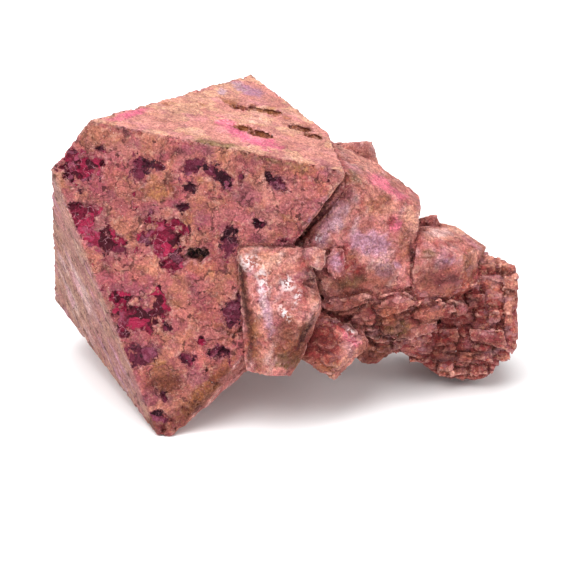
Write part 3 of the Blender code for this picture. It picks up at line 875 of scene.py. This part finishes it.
def relief(points, on, look):
    """How far the surface stands out at each point, in millimetres."""
    high = DEPTHS["ripple"] * noise("ripple", points) + DEPTHS["swell"] * noise("swell", points)
    high += DEPTHS["grit"] * clouds(points + GRIT_SHIFT, GRIT_SIZE) - DEPTHS["settle"]
    high -= DEPTHS["window"] * look.window * (1 - 0.3 * look.number)
    crust = on.crust * (1 - look.window)
    high += crust * (DEPTHS["crust_plate"] * look.plate + DEPTHS["crust_pebble"] * look.pebbles)
    high += DEPTHS["raised_plate"] * look.raised - DEPTHS["plate_rim"] * look.rim
    high += DEPTHS["window_steps"] * look.window * (look.small_number - 0.5)
    high += on.top * (DEPTHS["top_lump"] * noise("top_lumps", points) + DEPTHS["top_pebble"] * look.pebbles)
    high += on.left * (DEPTHS["streak"] * look.streak + DEPTHS["left_grit"] * noise("left_grit", points))
    grown = DEPTHS["grown_lump"] * noise("grown_lumps", points) + DEPTHS["grown_pebble"] * look.pebbles
    high += on.grown * grown
    sheets = DEPTHS["sheet"] + DEPTHS["slope_sheet"] * on.slope - DEPTHS["block_sheet"] * on.blocks
    high += on.grown * sheets * look.sheet
    high -= (DEPTHS["pit"] - DEPTHS["top_pit"] * on.top) * look.pit
    high *= 1 - 0.85 * smooth(-0.8, -0.1, on.in_slit) * on.facing
    high -= DEPTHS["seam"] * smooth(0.40, 0.05, look.seam) * (1 - look.pit) * (1 - 0.85 * on.front)
    worn = 1 - 0.5 * on.grown
    high -= smooth(0.55, 0.0, look.ridge) * (DEPTHS["worn"] + DEPTHS["chip"] * look.chips) * worn
    high -= smooth(1.1, 0.2, look.ridge) * DEPTHS["large_chip"] * smooth(0.28, 0.5, look.chips) * worn
    return high


def crevices(surface, on, look, near):
    """How deep in a cleft or under an overhang each point is, from 0 to 1; painted shade there follows it.
    """
    wide = surface.hollow(WIDE_ROUNDS)
    found = np.clip(smooth(0.05, 0.22, near) * 0.7 + smooth(0.25, 1.2, wide), 0, 1)
    found = np.maximum(found, smooth(0.50, 0.05, look.seam) * on.broken * (1 - on.top_hollow))
    # Painted shade follows these too: the seams of broken crystals, the plates' sunk rims and below each
    # sheet's edge.
    found = np.maximum(found * (1 - 0.8 * on.top_hollow), 0.8 * look.rim)
    under_sheet = smooth(0.16, 0.0, np.abs(look.sheet + SHEET_MEAN - 0.02))
    return np.maximum(found, 0.7 * under_sheet * on.grown * (0.4 + 0.6 * on.slope))


def laid(tone, name, weight):
    """The tone with a named one laid over it, by this weight at each point."""
    return tone + (np.array(TONES[name]) - tone) * weight[:, None]


def base_tone(points, on, look):
    """The colour that each part has of itself, with the drifts in it."""
    tone = np.tile(np.array(TONES["block"]), (len(points), 1))
    tone = laid(tone, "flank", on.grown * (1 - on.blocks))
    tone = laid(tone, "crust_pink", on.crust)
    warmth = noise("warmth", points) + 0.5 * (look.plate - 0.5)
    drifts = (
        ("crust", on.crust * (0.15 + 0.7 * smooth(-0.45, 0.40, warmth))),
        ("salmon", on.top),
        ("beige", on.left),
        ("mauve", on.crust * 0.55 * smooth(0.05, 0.45, noise("mauve", points))),
        ("brown", on.crust * 0.6 * smooth(0.15, 0.45, noise("brown", points))),
        ("salmon_pink", on.top * smooth(0.0, 0.4, noise("top_pink", points))),
        ("lavender", on.left * 0.8 * smooth(0.10, 0.45, look.streak)),
        ("pale", on.left * 0.7 * smooth(0.3, 0.6, look.pale_streak)),
        ("ochre", 0.35 * smooth(0.18, 0.45, noise("ochre", points))),
        ("lavender", on.grown * 0.5 * smooth(0.1, 0.5, noise("lavender", points))),
        ("red", on.grown * 0.5 * smooth(0.15, 0.5, noise("red", points))),
        ("pale", on.flank * 0.55 * smooth(0.10, 0.45, look.rising)),
        ("red", on.flank * 0.55 * smooth(-0.12, -0.45, look.rising)),
    )
    for name, weight in drifts:
        tone = laid(tone, name, weight)
    return tone


def painted(points, on, look, facet, crevice, edge):
    """The surface's colour at each point, before the fine grain: its own colour, with painted shade in
    crevices, gaps, pits and the slit, and painted highlight along its edges.
    """
    tone = base_tone(points, on, look)
    frayed = 0.7 * noise("wash_fray", points) + 0.35 * noise("fine_wash_fray", points)
    for name, marks, strength in WASHES:
        inside = smooth(-0.05, 0.40, marked(on.seen, marks, frayed))
        tone = laid(tone, name, on.facing * strength * inside)
    facet_shade = hashed(np.stack([facet, facet * 3, facet * 7], axis=1)) / (CODES - 1) - 0.5
    shade = 1 + 0.22 * noise("shade", points) + 0.16 * (look.number - 0.5)
    tone = tone * (shade + 0.14 * facet_shade * on.grown)[:, None]
    # Painted shade: near black in crevices, gaps and pits, and dark red along inward seams; the ochre in
    # the top's hollows and pits is the crust's own colour.
    gap = smooth(-0.1, 0.3, marked(on.seen, GAPS, 0.2 * frayed)) * on.facing
    for name, weight in (
        ("ochre", 0.6 * crevice * on.top),
        ("red", 0.5 * smooth(1.4, 0.3, look.seam) * on.grown),
        ("deep", crevice * (1 - 0.85 * on.top) * (0.45 + 0.4 * on.grown)),
        ("deep", 0.85 * gap),
        ("ochre", 0.8 * look.pit * on.top),
        ("deep", look.pit * (0.95 - 0.85 * on.top)),
        ("ochre", 0.85 * on.top_hollow),
    ):
        tone = laid(tone, name, weight)
    # Painted shade: the slit is painted almost black inside.
    tone = tone * (1 - 0.97 * on.slit)[:, None]
    # Painted highlight and wear: outward edges lightened with salmon and pale.
    tone = laid(tone, "salmon", 0.4 * edge * on.grown)
    tone = laid(tone, "pale", 0.25 * edge)
    return np.clip(tone, LEAST_TONE, 1)


def dressed(mesh, rough):
    """Moves the mesh into its fine relief and stores what the material reads."""
    surface = Surface(mesh)
    surface.points, facet = settled_on(surface.points, rough)
    points, normals = surface.points, surface.normals()
    on = Zones(points, normals)
    look = Patterns(points, on, rough)
    low, high = (np.array(corner) / MM for corner in cad_box)
    surface.points = np.clip(points + normals * relief(points, on, look)[:, None], low, high)

    near = surface.hollow(NEAR_ROUNDS)
    crevice = crevices(surface, on, look, near)
    # Outward edges, lightened in the tone as painted highlight and wear.
    edge = smooth(0.03, 0.15, -near)
    frayed = 0.5 * noise("frost_and_sparkle_fray", points)
    surface.write()
    surface.store("tone", painted(points, on, look, facet, crevice, edge))
    surface.store("window", look.window_field)
    surface.store("plate", np.where(on.crust > 0.5, look.plate_field, 1.0))
    surface.store("plum", look.plum)
    # White frosting, partly painted sparkle.
    surface.store("frost_and_sparkle", np.clip(marked(on.seen, FROST_AND_SPARKLE, frayed) * on.facing, 0, 1))
    surface.store("soft", TOP_SOFTNESS * on.top)
    # Painted shade, where the shade marks lie.
    surface.store("painted_shade", on.facing * smooth(-0.15, 0.45, marked(on.seen, SHADE, 0.5 * frayed)))
    surface.store("bare", np.clip(on.broken + 0.2 * on.left, 0, 1))


# ---------------------------------------------------------------- shader nodes
class Nodes:
    """Short calls that add nodes to one tree. A value given to an input is set, and a socket is linked."""

    def __init__(self, tree):
        self.tree = tree

    def new(self, kind, settings=None, **inputs):
        """Adds a node. An input is called by its name, or by its number as n0, n1 and so on."""
        made = self.tree.nodes.new(kind)
        for name, value in (settings or {}).items():
            setattr(made, name, value)
        for name, value in inputs.items():
            key = int(name[1:]) if name[1:].isdigit() else name.replace("_", " ")
            if isinstance(value, bpy.types.NodeSocket):
                self.tree.links.new(value, made.inputs[key])
            else:
                made.inputs[key].default_value = value
        return made

    def maths(self, operation, a, b=0.0, c=0.0):
        return self.new("ShaderNodeMath", {"operation": operation}, n0=a, n1=b, n2=c).outputs[0]

    def plus(self, first, *others):
        return reduce(lambda a, b: self.maths("ADD", a, b), others, first)

    def minus(self, a, b):
        return self.maths("SUBTRACT", a, b)

    def times(self, first, *others):
        return reduce(lambda a, b: self.maths("MULTIPLY", a, b), others, first)

    def most(self, first, *others):
        return reduce(lambda a, b: self.maths("MAXIMUM", a, b), others, first)

    def ranged(self, value, low, high, to_low=0.0, to_high=1.0):
        """The value's way from low to high, softly, as a way from to_low to to_high."""
        settings = {"interpolation_type": "SMOOTHSTEP"}
        inputs = {"From_Min": low, "From_Max": high, "To_Min": to_low, "To_Max": to_high}
        return self.new("ShaderNodeMapRange", settings, Value=value, **inputs).outputs[0]

    def mixed(self, factor, a, b, blend="MIX"):
        settings = {"data_type": "RGBA", "blend_type": blend}
        return self.new("ShaderNodeMix", settings, n0=factor, n6=a, n7=b).outputs[2]

    def noise(self, vector, scale, detail, roughness=0.5):
        inputs = {"Scale": scale, "Detail": detail, "Roughness": roughness}
        return self.new("ShaderNodeTexNoise", Vector=vector, **inputs)

    def cells(self, vector, scale, **settings):
        return self.new("ShaderNodeTexVoronoi", settings, Vector=vector, Scale=scale)

    def wandering(self, vector, scale, detail, reach, roughness=0.5):
        """The place moved about by a noise, so that what is drawn on it wanders."""
        moved = self.noise(vector, scale, detail, roughness).outputs[1]
        settings = {"operation": "MULTIPLY_ADD"}
        return self.new("ShaderNodeVectorMath", settings, n0=moved, n1=(reach,) * 3, n2=vector).outputs[0]


class Group(Nodes):
    """A shader node group with a place, a scale and a few named numbers going in."""

    def __init__(self, name, numbers, outputs):
        super().__init__(bpy.data.node_groups.new(name, "ShaderNodeTree"))
        sockets = self.tree.interface
        sockets.new_socket("Vector", in_out="INPUT", socket_type="NodeSocketVector")
        for label, value in {"Scale": 1.0, **numbers}.items():
            socket = sockets.new_socket(label, in_out="INPUT", socket_type="NodeSocketFloat")
            socket.default_value = value
        for label in outputs:
            sockets.new_socket(label, in_out="OUTPUT", socket_type="NodeSocketFloat")
        self.given = self.tree.nodes.new("NodeGroupInput").outputs
        self.end = self.tree.nodes.new("NodeGroupOutput")

    def gives(self, **outputs):
        for label, socket in outputs.items():
            self.tree.links.new(socket, self.end.inputs[label])
        return self.tree


def grain_group():
    """Fine noise cut to a mask between two levels."""
    g = Group("fine_grain", {"Low": 0.4, "High": 0.6}, ["Mask"])
    place, scale, low, high = g.given[:4]
    return g.gives(Mask=g.ranged(g.noise(place, scale, 4.0, 0.6).outputs[0], low, high))


def vein_group():
    """Thin wandering lines along the borders of cells."""
    g = Group("veins", {"Width": 0.04}, ["Mask"])
    place, scale, width = g.given[:3]
    wandering = g.wandering(place, 1.6, 3.0, 0.9)
    cells = g.cells(wandering, scale, feature="DISTANCE_TO_EDGE")
    return g.gives(Mask=g.ranged(cells.outputs["Distance"], width, 0.0))


def fissure_group():
    """Fine broken cracks, where a noise crosses its middle value."""
    g = Group("fissures", {"Width": 0.02, "Cover": 0.5}, ["Mask"])
    place, scale, width, cover = g.given[:4]
    off_middle = g.maths("ABSOLUTE", g.minus(g.noise(place, scale, 3.0, 0.65).outputs[0], 0.5))
    line = g.ranged(off_middle, width, 0.0)
    patches = g.noise(place, g.times(scale, 0.45), 2.0).outputs[0]
    covered = g.maths("GREATER_THAN", patches, g.minus(1.0, cover))
    return g.gives(Mask=g.times(line, covered))


def pore_group():
    """Small uneven pits, in some of the cells of a warped cell pattern."""
    g = Group("pores", {"Cover": 0.2}, ["Mask"])
    place, scale, cover = g.given[:3]
    cells = g.cells(g.wandering(place, 2.2, 3.0, 1.1), scale)
    chance, width = g.new("ShaderNodeSeparateColor", Color=cells.outputs["Color"]).outputs[:2]
    chosen = g.maths("GREATER_THAN", chance, g.minus(1.0, cover))
    reach = g.maths("MULTIPLY_ADD", width, 0.30, 0.18)
    pit = g.ranged(cells.outputs["Distance"], reach, g.minus(reach, 0.10))
    return g.gives(Mask=g.times(pit, chosen))


def plate_group():
    """Rounded plates that meet at thin lines: two numbers for each, how domed it is, and the lines."""
    g = Group("plates", {}, ["Number", "Other", "Dome", "Lines"])
    place, scale = g.given[:2]
    wandering = g.wandering(place, 0.6, 5.0, 3.2, roughness=0.62)
    near, far = g.cells(wandering, scale), g.cells(wandering, scale, feature="F2")
    number, other = g.new("ShaderNodeSeparateColor", Color=near.outputs["Color"]).outputs[:2]
    gap = g.minus(far.outputs["Distance"], near.outputs["Distance"])
    return g.gives(
        Number=number, Other=other, Dome=g.ranged(gap, 0.0, 0.45), Lines=g.ranged(gap, 0.075, 0.015)
    )


def facet_group():
    """Broken blocky facets: a shade, a second shade, a height and the dark lines between them."""
    g = Group("facets", {}, ["Shade", "Other", "Height", "Lines"])
    place, scale = g.given[:2]
    wandering = g.wandering(place, 1.3, 2.0, 0.7)
    near = g.cells(wandering, scale, distance="MANHATTAN")
    far = g.cells(wandering, scale, distance="MANHATTAN", feature="F2")
    shade, other, level = g.new("ShaderNodeSeparateColor", Color=near.outputs["Color"]).outputs[:3]
    gap = g.minus(far.outputs["Distance"], near.outputs["Distance"])
    height = g.plus(g.times(near.outputs["Distance"], other), level)
    return g.gives(Shade=shade, Other=other, Height=height, Lines=g.ranged(gap, 0.12, 0.0))


GRAIN = grain_group()
VEINS = vein_group()
FISSURES = fissure_group()
PORES = pore_group()
PLATES = plate_group()
FACETS = facet_group()


class SpinelNodes(Nodes):
    """The spinel's own nodes: its crust with its painted shade, its windows, the white frosting with its
    painted sparkle, the painted glints, and the height of the grain.
    """

    def __init__(self, tree):
        super().__init__(tree)
        place = self.new("ShaderNodeTexCoord").outputs["Object"]
        settings = {"operation": "SCALE"}
        self.at = self.new("ShaderNodeVectorMath", settings, n0=place, Scale=1 / MM).outputs[0]
        self.bare = self.attribute("bare")
        self.crusted = self.minus(1.0, self.times(self.bare, 0.8))
        self.coarse = self.grain(0.9, 0.3, 0.7)
        self.fine = self.grain(3.6, 0.3, 0.7)
        self.plates = self.group(PLATES, 0.27)
        self.small_plates = self.group(PLATES, 0.75)
        flat = self.new("ShaderNodeVectorMath", {"operation": "MULTIPLY"}, n0=self.at, n1=(1.0, 1.0, 1.9))
        self.chunks = self.group(FACETS, 0.62, Vector=flat.outputs[0])
        self.facets = self.group(FACETS, 0.60)
        self.fray = self.minus(self.grain(2.0, 0.2, 0.8), 0.5)
        self.window_field = self.ragged_window_field()
        self.window = self.ranged(self.window_field, 0.0, 0.04)
        self.dark = self.dark_marks()
        self.frosty_sparkle = self.times(self.attribute("frost_and_sparkle"), self.grain(1.8, 0.45, 0.56))

    def attribute(self, name):
        return self.new("ShaderNodeAttribute", {"attribute_name": name}).outputs["Fac"]

    def group(self, group, scale, **inputs):
        """The outputs of a node group, placed at the surface's own millimetres."""
        inputs = {"Vector": self.at, "Scale": scale, **inputs}
        return self.new("ShaderNodeGroup", {"node_tree": group}, **inputs).outputs

    def grain(self, scale, low, high):
        return self.group(GRAIN, scale, Low=low, High=high)[0]

    def tinted(self, weight, colour, tint):
        return self.mixed(weight, colour, TINTS[tint])

    def multiplied(self, colour, other):
        return self.mixed(1.0, colour, other, "MULTIPLY")

    def between(self, factor, shades):
        """A colour between the two shades of a pair."""
        return self.mixed(factor, *SHADES[shades])

    def near_border(self, shift, width):
        """A line at this distance from the windows' border, by this width."""
        return self.ranged(self.maths("ABSOLUTE", self.plus(self.window_field, shift)), width, 0.0)

    def ragged_window_field(self):
        """Above 0 inside a window. The facets and plates around a window make its border ragged."""
        blocks = self.minus(self.group(FACETS, 2.0)["Shade"], 0.5)
        chunks = self.minus(self.group(FACETS, 0.95)["Shade"], 0.5)
        return self.plus(
            self.attribute("window"),
            self.times(self.fray, 0.16),
            self.times(blocks, 0.30),
            self.times(chunks, 0.46),
            self.times(self.minus(0.42, self.plates["Dome"]), 0.26),
            self.times(self.minus(0.42, self.small_plates["Dome"]), 0.18),
        )

    def dark_marks(self):
        """Cracks, fissures, pores and specks, and painted shade along the windows' sunk border, from 0 to
        1.
        """
        cracks = self.most(
            self.times(self.plates["Lines"], self.grain(0.6, 0.46, 0.56)),
            self.times(self.small_plates["Lines"], 0.7, self.grain(0.5, 0.50, 0.58)),
        )
        fissures = self.group(FISSURES, 0.50, Width=0.012, Cover=0.42)[0]
        pores = self.group(PORES, 1.05, Cover=0.10)[0]
        specks = self.group(PORES, 2.6, Cover=0.14)[0]
        dark = self.most(
            self.times(fissures, 0.45),
            self.times(pores, self.crusted, 0.8),
            self.times(specks, 0.45),
            self.times(cracks, self.crusted, 0.75),
            # Painted shade along the windows' sunk border, as a dark line.
            self.times(self.near_border(0.03, 0.07), 0.35),
        )
        return self.times(dark, self.minus(1.0, self.attribute("soft")))

    def crust_colour(self):
        """Dusty crust with rosy and golden specks, dark pits and pale dust, in plates or broken chunks."""
        tone = self.new("ShaderNodeAttribute", {"attribute_name": "tone"}).outputs["Color"]
        crust = self.multiplied(tone, self.between(self.coarse, "coarse_grain"))
        hue = self.between(self.ranged(self.plates["Number"], 0.35, 0.65), "plate_hue")
        hue = self.multiplied(hue, self.between(self.plates["Other"], "plate_shade"))
        hue = self.tinted(self.times(self.small_plates["Number"], 0.5), hue, "small_plate_hue")
        crust = self.mixed(self.minus(1.0, self.bare), crust, self.multiplied(crust, hue))
        crust = self.multiplied(crust, self.between(self.fine, "fine_grain"))
        pores = self.group(PORES, 1.9, Cover=0.12)[0]
        crust = self.tinted(self.times(self.bare, pores, 0.55), crust, "bare_pore")
        for scale, low, high, strength, tint in CRUST_SPECKS:
            crust = self.tinted(self.times(self.grain(scale, low, high), strength), crust, tint)
        broken = self.multiplied(crust, self.between(self.chunks["Shade"], "chunk_shade"))
        crust = self.mixed(self.times(self.bare, 0.85), crust, broken)

        patchy = self.times(self.bare, self.grain(0.8, 0.38, 0.58))
        clear = self.times(patchy, self.maths("GREATER_THAN", self.chunks["Other"], 0.72))
        bloody = self.times(patchy, self.maths("LESS_THAN", self.chunks["Other"], 0.20))
        crust = self.tinted(self.times(clear, 0.32), crust, "clear_chunk")
        crust = self.tinted(self.times(self.bare, self.grain(2.4, 0.58, 0.66), 0.5), crust, "warm_fleck")
        crust = self.tinted(self.times(bloody, 0.50), crust, "bloody_chunk")
        crust = self.tinted(self.times(self.bare, self.chunks["Lines"], 0.40), crust, "chunk_line")
        under = self.ranged(self.plus(self.attribute("plate"), self.times(self.fray, 0.25)), 0.03, -0.03)
        rosy = self.times(under, self.grain(1.2, 0.42, 0.56), 0.35)
        crust = self.tinted(rosy, crust, "under_plates")
        # Painted shade: the crust darkened where the shade marks lie.
        crust = self.mixed(self.attribute("painted_shade"), crust, self.multiplied(crust, TINTS["painted_shade_tint"]))
        # Cracks, pores and specks, with painted shade along the windows' border.
        crust = self.tinted(self.dark, crust, "crack_and_shade")

        rim = self.times(self.near_border(0.13, 0.06), self.grain(1.4, 0.44, 0.58), 0.40)
        crust = self.tinted(rim, crust, "window_rim")
        halo = self.times(self.ranged(self.window_field, -0.42, -0.02), self.grain(0.9, 0.40, 0.62), 0.32)
        return self.tinted(halo, crust, "window_halo")

    def window_colour(self):
        """Clear deep red to plum in broken blocky facets, with dark lines and pale veins."""
        plum = self.attribute("plum")
        clear_red = self.minus(1.0, self.times(plum, 0.6))
        small_facets = self.group(FACETS, 1.9)
        facet = self.plus(self.times(self.facets["Shade"], 0.74), self.times(small_facets["Shade"], 0.26))
        deep, light = self.between(plum, "deep_window"), self.between(plum, "light_window")
        red = self.mixed(self.ranged(facet, 0.20, 0.95), deep, light)
        hazy = self.maths("GREATER_THAN", self.facets["Other"], 0.76)
        red = self.tinted(self.times(hazy, self.grain(1.2, 0.40, 0.60), 0.45), red, "haze")
        red = self.tinted(self.times(self.facets["Lines"], clear_red, 0.5), red, "facet_line")
        vein = self.times(self.group(VEINS, 0.75, Width=0.04)[0], self.grain(0.5, 0.46, 0.58))
        return self.tinted(self.times(vein, clear_red, 0.70), red, "vein")

    def colour(self):
        colour = self.mixed(self.window, self.crust_colour(), self.window_colour())
        # White frosting, partly painted sparkle.
        colour = self.tinted(self.frosty_sparkle, colour, "frost_and_sparkle")
        # Painted glints: tiny white specks.
        return self.tinted(self.times(self.grain(5.0, 0.70, 0.73), 0.8), colour, "painted_glint")

    def roughness(self):
        glassy = self.most(self.window, self.frosty_sparkle, self.times(self.bare, 0.35))
        return self.ranged(glassy, 0.0, 1.0, DUSTY_ROUGHNESS, GLASSY_ROUGHNESS)

    def normal(self):
        raised = self.plus(
            self.times(self.fine, 0.6),
            self.times(self.coarse, 0.40),
            self.times(self.plates["Dome"], self.crusted, 1.5),
            self.times(self.small_plates["Dome"], self.crusted, 0.7),
            self.times(self.facets["Height"], self.window, 0.9),
            self.times(self.chunks["Height"], self.bare, 0.9),
        )
        sunk = self.plus(self.times(self.dark, 0.7), self.times(self.window, 0.8))
        height = self.minus(raised, sunk)
        inputs = {"Strength": GRAIN_STRENGTH, "Distance": GRAIN_HEIGHT * MM}
        return self.new("ShaderNodeBump", Height=height, **inputs).outputs[0]


def material_shader(name):
    """A new material, its node tree and its shader."""
    material = bpy.data.materials.new(name)
    material.use_nodes = True
    return material, material.node_tree, material.node_tree.nodes["Principled BSDF"]


def spinel_material():
    material, tree, shader = material_shader("spinel_surface")
    spinel = SpinelNodes(tree)
    tree.links.new(spinel.colour(), shader.inputs["Base Color"])
    tree.links.new(spinel.roughness(), shader.inputs["Roughness"])
    tree.links.new(spinel.normal(), shader.inputs["Normal"])
    shader.inputs["Specular IOR Level"].default_value = SPECULAR_LEVEL
    return material


# ---------------------------------------------------------------- the piece
rough = merged_solid()
mesh = modified(rough, "REMESH", mode="VOXEL", voxel_size=VOXEL * MM)
dressed(mesh, rough)
share = MOST_TRIANGLES / triangles(mesh)
mesh = modified(mesh, "DECIMATE", ratio=share, use_collapse_triangulate=True)
mesh.materials.append(spinel_material())
mesh.shade_smooth()
mesh.set_sharp_from_angle(angle=math.radians(SHARP_ANGLE))
group = placed("spinel_group", mesh)
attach(group, "root")
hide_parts("spinel_crystal")


# ---------------------------------------------------------------- floor, light and camera
def floor_plane():
    bm = bmesh.new()
    bmesh.ops.create_grid(bm, x_segments=1, y_segments=1, size=FLOOR_HALF_WIDTH)
    plane = bpy.data.meshes.new("floor")
    bm.to_mesh(plane)
    bm.free()
    material, _, shader = material_shader("white_sweep")
    shader.inputs["Base Color"].default_value = FLOOR_COLOUR
    shader.inputs["Roughness"].default_value = FLOOR_ROUGHNESS
    plane.materials.append(material)
    placed("floor", plane)


def aimed(holder, place, forward):
    """Puts a lamp or camera at a place, looking forward."""
    holder.location = place
    holder.rotation_mode = "QUATERNION"
    holder.rotation_quaternion = forward.to_track_quat("-Z", "Y")


def soft_light(name, place, size, power):
    light = bpy.data.lights.new(name, "AREA")
    light.shape = "DISK"
    light.size = size
    light.energy = power
    aimed(placed(name, light), place, Vector(LAMPS_AIM) - Vector(place))


def world_light(strength):
    world = bpy.data.worlds.new("studio")
    world.use_nodes = True
    background = world.node_tree.nodes["Background"]
    background.inputs["Color"].default_value = (1, 1, 1, 1)
    background.inputs["Strength"].default_value = strength
    bpy.context.scene.world = world


def front_camera():
    camera = bpy.data.cameras.new("front_camera")
    camera.sensor_width = SENSOR
    camera.lens = SENSOR * VIEW_DISTANCE / (VIEW_GRID * VIEW_STEP)
    camera.clip_start, camera.clip_end = NEAREST_SEEN, FARTHEST_SEEN
    forward = -Vector(direction(0, VIEW_ELEVATION))
    holder = placed("front_camera", camera)
    aimed(holder, Vector(VIEW_TARGET * MM) - forward * VIEW_DISTANCE * MM, forward)
    bpy.context.scene.camera = holder


floor_plane()
for lamp in LAMPS:
    soft_light(*lamp)
world_light(WORLD_STRENGTH)
front_camera()
bpy.context.scene.view_settings.view_transform = "Standard"
